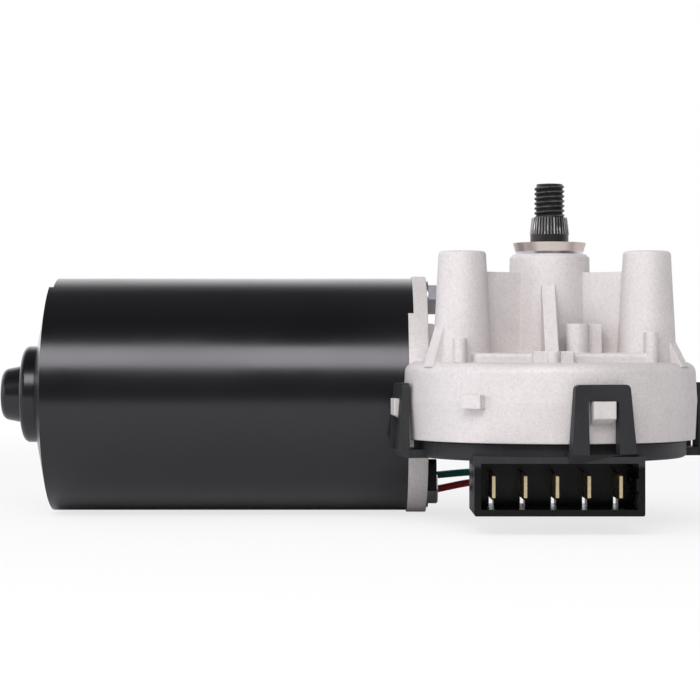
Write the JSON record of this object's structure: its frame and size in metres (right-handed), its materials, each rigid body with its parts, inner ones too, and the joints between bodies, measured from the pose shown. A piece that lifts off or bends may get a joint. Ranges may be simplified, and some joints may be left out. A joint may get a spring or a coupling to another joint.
{
  "type": "wiper motor",
  "caption": "Geared wiper motor: round motor can bolted to a die-cast worm-gear case with three mounting bosses, a splined output shaft and a five-blade socket.",
  "frame": {"origin": "on the output shaft's axis, in the plane of the three mounting boss faces", "axes": "+Z out along the output shaft, +X away from the motor can, +Y towards the motor's side of the gear case"},
  "size_m": [0.1896, 0.1103, 0.0877],
  "materials": {
    "can_black": "gloss black baked paint",
    "cast_aluminium": "blasted die casting",
    "black_plastic": "moulded charcoal plastic",
    "dark_steel": "phosphated steel",
    "zinc_steel": "zinc plated steel",
    "bright_steel": "ground steel",
    "bronze": "sintered bronze",
    "brass": "bright brass strip",
    "copper": "enamelled copper",
    "black_rubber": "matt rubber",
    "acetal": "white acetal",
    "ferrite": "sintered ferrite",
    "carbon": "carbon brush",
    "lamination": "stacked electrical steel",
    "green_wire": "green wire sleeve",
    "red_wire": "red wire sleeve",
    "gasket_rubber": "matt rubber"
  },
  "bodies": {
    "housing": {"yoke": "can_black", "gear_case": "cast_aluminium", "gear_cover": "black_plastic", "connector_shell": "black_plastic", "brush_card": "black_plastic", "yoke_bolt_upper": "zinc_steel", "yoke_bolt_lower": "zinc_steel", "thrust_locknut": "zinc_steel", "thrust_screw": "zinc_steel", "nut_plate_upper": "zinc_steel", "nut_plate_lower": "zinc_steel", "bearing_retainer": "zinc_steel", "bush_retainer": "zinc_steel", "magnet_clip_top": "zinc_steel", "magnet_clip_bottom": "zinc_steel", "bearing_outer": "bright_steel", "bearing_balls": "bright_steel", "thrust_ball": "bright_steel", "brush_spring_1": "bright_steel", "brush_spring_2": "bright_steel", "brush_spring_3": "bright_steel", "output_bush_upper": "bronze", "output_bush_lower": "bronze", "rear_bush": "bronze", "worm_end_bush": "bronze", "park_finger_inner": "brass", "park_finger_middle": "brass", "park_finger_outer": "brass", "brush_holder_1": "brass", "brush_holder_2": "brass", "brush_holder_3": "brass", "terminal_1": "brass", "terminal_2": "brass", "terminal_3": "brass", "terminal_4": "brass", "terminal_5": "brass", "shaft_seal": "black_rubber", "wire_grommet": "black_rubber", "drain_vent": "black_rubber", "cover_gasket": "gasket_rubber", "magnet_front": "ferrite", "magnet_back": "ferrite", "wire_green": "green_wire", "wire_red": "red_wire"},
    "armature": {"armature_shaft": "bright_steel", "lamination_stack": "lamination", "winding_front": "copper", "winding_rear": "copper", "commutator": "copper", "bearing_inner": "bright_steel"},
    "output": {"output_shaft": "dark_steel", "worm_wheel": "acetal", "carrier_plate": "zinc_steel", "contact_disc": "brass", "flat_washer": "zinc_steel", "dished_washer": "bronze", "circlip": "bright_steel"},
    "brush_a": {"brush_1": "carbon"},
    "brush_b": {"brush_2": "carbon"},
    "brush_c": {"brush_3": "carbon"}
  },
  "joints": [
    {"name": "armature_spin", "type": "hinge", "parent": "housing", "child": "armature", "pos_m": [0, 0.036, -0.0372], "axis": [1, 0, 0], "continuous": true},
    {"name": "output_spin", "type": "hinge", "parent": "housing", "child": "output", "pos_m": [0, 0, 0], "axis": [0, 0, 1], "continuous": true},
    {"name": "brush_slide_a", "type": "slide", "parent": "housing", "child": "brush_a", "axis": [0, 0, 1], "range_m": [0, 0.002], "stiffness_N_per_m": 300, "springref_m": -0.006, "deforming": ["brush_spring_1"]},
    {"name": "brush_slide_b", "type": "slide", "parent": "housing", "child": "brush_b", "axis": [0, -0.866, -0.5], "range_m": [0, 0.002], "stiffness_N_per_m": 300, "springref_m": -0.006, "deforming": ["brush_spring_2"]},
    {"name": "brush_slide_c", "type": "slide", "parent": "housing", "child": "brush_c", "axis": [0, 0.866, -0.5], "range_m": [0, 0.002], "stiffness_N_per_m": 300, "springref_m": -0.006, "deforming": ["brush_spring_3"]}
  ],
  "couplings": [
    {"joint": "output_spin", "follows": "armature_spin", "ratio": 0.016129}
  ]
}
